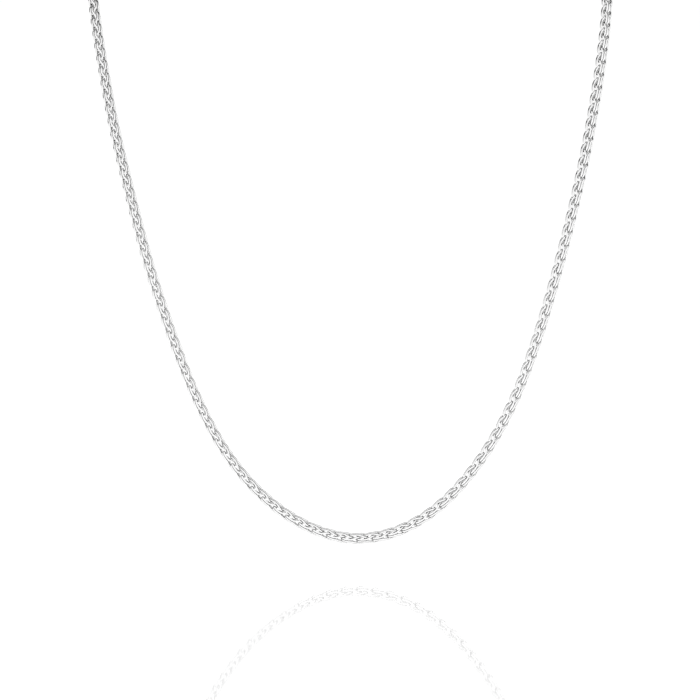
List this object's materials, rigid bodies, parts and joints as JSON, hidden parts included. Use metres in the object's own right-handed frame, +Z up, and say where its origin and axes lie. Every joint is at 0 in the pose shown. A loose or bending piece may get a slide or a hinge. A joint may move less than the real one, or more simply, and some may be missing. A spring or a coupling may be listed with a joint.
{
  "type": "wheat chain necklace",
  "caption": "Silver wheat chain necklace in its worn form: a slim four-sided chain of interlinked folded links, closed at the nape by a plain hoop clasp and rings.",
  "frame": {"origin": "where the fastening touches the nape of the neck, in the middle of the back", "axes": "+Z up, -Y towards the front of the neck, +X to the wearer's left, which is right in the picture"},
  "size_m": [0.1059, 0.0894, 0.1325],
  "materials": {
    "chain_silver": "polished sterling silver",
    "fittings_silver": "polished sterling silver"
  },
  "bodies": {
    "root": {"chain": "chain_silver", "end_cap_left": "fittings_silver", "end_cap_right": "fittings_silver", "jump_ring": "fittings_silver", "clasp": "fittings_silver", "end_ring": "fittings_silver"}
  },
  "joints": []
}
